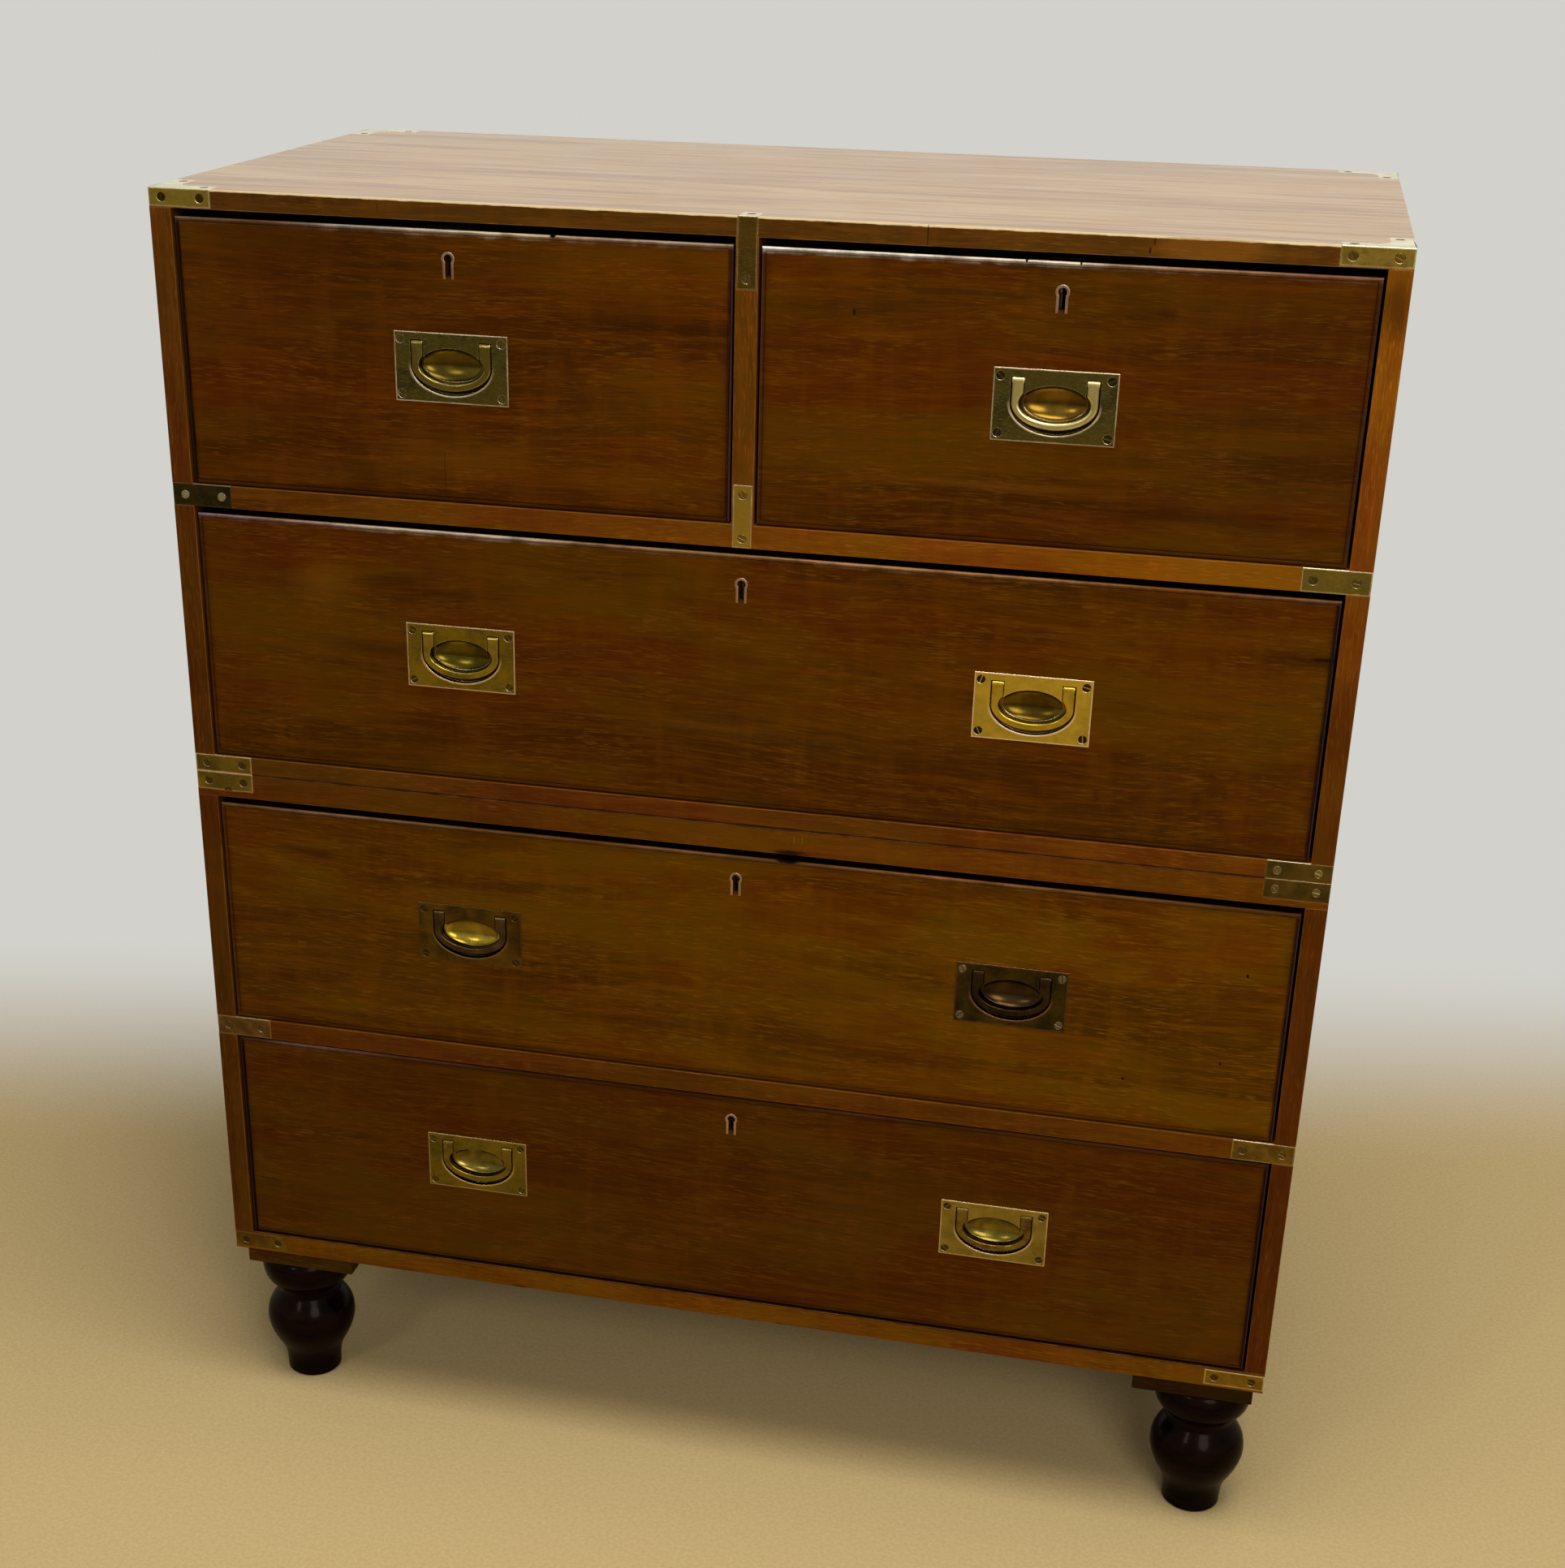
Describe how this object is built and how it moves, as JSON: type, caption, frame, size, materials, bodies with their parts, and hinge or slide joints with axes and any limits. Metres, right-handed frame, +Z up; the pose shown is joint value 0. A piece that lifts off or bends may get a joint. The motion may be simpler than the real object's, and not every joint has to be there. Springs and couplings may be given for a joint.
{
  "type": "campaign chest of drawers",
  "caption": "Campaign chest in separate upper and lower cases on turned feet, with brass corners and straps, flush drop handles and locking drawers.",
  "frame": {"origin": "on the floor below the middle of the chest", "axes": "+Z up, the drawer fronts face -Y, and +X is to the right seen from the front"},
  "size_m": [0.99, 0.495, 1.1605],
  "materials": {
    "mahogany": "old polish, satin",
    "drawer_mahogany": "old polish, satin",
    "lining_wood": "bare, waxed",
    "ebonised_wood": "gloss",
    "brass": "aged, rubbed bright at the edges",
    "steel": "dull"
  },
  "bodies": {
    "lower_case": {"lower_base_board": "mahogany", "lower_top_board": "mahogany", "lower_left_side": "mahogany", "lower_right_side": "mahogany", "lower_rail": "mahogany", "lower_back_boards": "lining_wood", "lower_runners_and_stops": "lining_wood", "lower_straps": "brass", "locating_pegs": "lining_wood", "front_left_foot": "ebonised_wood", "front_right_foot": "ebonised_wood", "back_left_foot": "ebonised_wood", "back_right_foot": "ebonised_wood"},
    "upper_case": {"upper_base_board": "mahogany", "upper_top_board": "mahogany", "upper_left_side": "mahogany", "upper_right_side": "mahogany", "upper_rail": "mahogany", "divider": "mahogany", "upper_back_boards": "lining_wood", "upper_runners_and_stops": "lining_wood", "upper_straps": "brass"},
    "top_left_drawer": {"top_left_drawer_front": "drawer_mahogany", "top_left_drawer_sides_and_back": "lining_wood", "top_left_drawer_bottom": "lining_wood", "top_left_handle_plates": "brass", "top_left_lock": "brass"},
    "top_left_lock_bolt": {"top_left_lock_bolt": "steel"},
    "top_left_bail": {"top_left_bail": "brass"},
    "top_right_drawer": {"top_right_drawer_front": "drawer_mahogany", "top_right_drawer_sides_and_back": "lining_wood", "top_right_drawer_bottom": "lining_wood", "top_right_handle_plates": "brass", "top_right_lock": "brass"},
    "top_right_lock_bolt": {"top_right_lock_bolt": "steel"},
    "top_right_bail": {"top_right_bail": "brass"},
    "second_drawer": {"second_drawer_front": "drawer_mahogany", "second_drawer_sides_and_back": "lining_wood", "second_drawer_bottom": "lining_wood", "second_handle_plates": "brass", "second_lock": "brass"},
    "second_lock_bolt": {"second_lock_bolt": "steel"},
    "second_left_bail": {"second_left_bail": "brass"},
    "second_right_bail": {"second_right_bail": "brass"},
    "third_drawer": {"third_drawer_front": "drawer_mahogany", "third_drawer_sides_and_back": "lining_wood", "third_drawer_bottom": "lining_wood", "third_handle_plates": "brass", "third_lock": "brass"},
    "third_lock_bolt": {"third_lock_bolt": "steel"},
    "third_left_bail": {"third_left_bail": "brass"},
    "third_right_bail": {"third_right_bail": "brass"},
    "bottom_drawer": {"bottom_drawer_front": "drawer_mahogany", "bottom_drawer_sides_and_back": "lining_wood", "bottom_drawer_bottom": "lining_wood", "bottom_handle_plates": "brass", "bottom_lock": "brass"},
    "bottom_lock_bolt": {"bottom_lock_bolt": "steel"},
    "bottom_left_bail": {"bottom_left_bail": "brass"},
    "bottom_right_bail": {"bottom_right_bail": "brass"}
  },
  "joints": [
    {"name": "upper_case_lift", "type": "slide", "parent": "lower_case", "child": "upper_case", "axis": [0, 0, 1], "range_m": [0, 0.08]},
    {"name": "top_left_drawer_slide", "type": "slide", "parent": "upper_case", "child": "top_left_drawer", "axis": [0, -1, 0], "range_m": [0, 0.4]},
    {"name": "top_left_lock_bolt_throw", "type": "slide", "parent": "top_left_drawer", "child": "top_left_lock_bolt", "axis": [0, 0, 1], "range_m": [0, 0.014]},
    {"name": "top_left_bail_swing", "type": "hinge", "parent": "top_left_drawer", "child": "top_left_bail", "pos_m": [-0.243, -0.24445, 1.04905], "axis": [-1, 0, 0], "range_deg": [0, 90]},
    {"name": "top_right_drawer_slide", "type": "slide", "parent": "upper_case", "child": "top_right_drawer", "axis": [0, -1, 0], "range_m": [0, 0.4]},
    {"name": "top_right_lock_bolt_throw", "type": "slide", "parent": "top_right_drawer", "child": "top_right_lock_bolt", "axis": [0, 0, 1], "range_m": [0, 0.014]},
    {"name": "top_right_bail_swing", "type": "hinge", "parent": "top_right_drawer", "child": "top_right_bail", "pos_m": [0.243, -0.24445, 1.04905], "axis": [-1, 0, 0], "range_deg": [0, 90]},
    {"name": "second_drawer_slide", "type": "slide", "parent": "upper_case", "child": "second_drawer", "axis": [0, -1, 0], "range_m": [0, 0.4]},
    {"name": "second_lock_bolt_throw", "type": "slide", "parent": "second_drawer", "child": "second_lock_bolt", "axis": [0, 0, 1], "range_m": [0, 0.014]},
    {"name": "second_left_bail_swing", "type": "hinge", "parent": "second_drawer", "child": "second_left_bail", "pos_m": [-0.243, -0.24445, 0.8053], "axis": [-1, 0, 0], "range_deg": [0, 90]},
    {"name": "second_right_bail_swing", "type": "hinge", "parent": "second_drawer", "child": "second_right_bail", "pos_m": [0.243, -0.24445, 0.8053], "axis": [-1, 0, 0], "range_deg": [0, 90]},
    {"name": "third_drawer_slide", "type": "slide", "parent": "lower_case", "child": "third_drawer", "axis": [0, -1, 0], "range_m": [0, 0.4]},
    {"name": "third_lock_bolt_throw", "type": "slide", "parent": "third_drawer", "child": "third_lock_bolt", "axis": [0, 0, 1], "range_m": [0, 0.014]},
    {"name": "third_left_bail_swing", "type": "hinge", "parent": "third_drawer", "child": "third_left_bail", "pos_m": [-0.243, -0.24445, 0.546], "axis": [-1, 0, 0], "range_deg": [0, 90]},
    {"name": "third_right_bail_swing", "type": "hinge", "parent": "third_drawer", "child": "third_right_bail", "pos_m": [0.243, -0.24445, 0.546], "axis": [-1, 0, 0], "range_deg": [0, 90]},
    {"name": "bottom_drawer_slide", "type": "slide", "parent": "lower_case", "child": "bottom_drawer", "axis": [0, -1, 0], "range_m": [0, 0.4]},
    {"name": "bottom_lock_bolt_throw", "type": "slide", "parent": "bottom_drawer", "child": "bottom_lock_bolt", "axis": [0, 0, 1], "range_m": [0, 0.014]},
    {"name": "bottom_left_bail_swing", "type": "hinge", "parent": "bottom_drawer", "child": "bottom_left_bail", "pos_m": [-0.243, -0.24445, 0.30975], "axis": [-1, 0, 0], "range_deg": [0, 90]},
    {"name": "bottom_right_bail_swing", "type": "hinge", "parent": "bottom_drawer", "child": "bottom_right_bail", "pos_m": [0.243, -0.24445, 0.30975], "axis": [-1, 0, 0], "range_deg": [0, 90]}
  ]
}
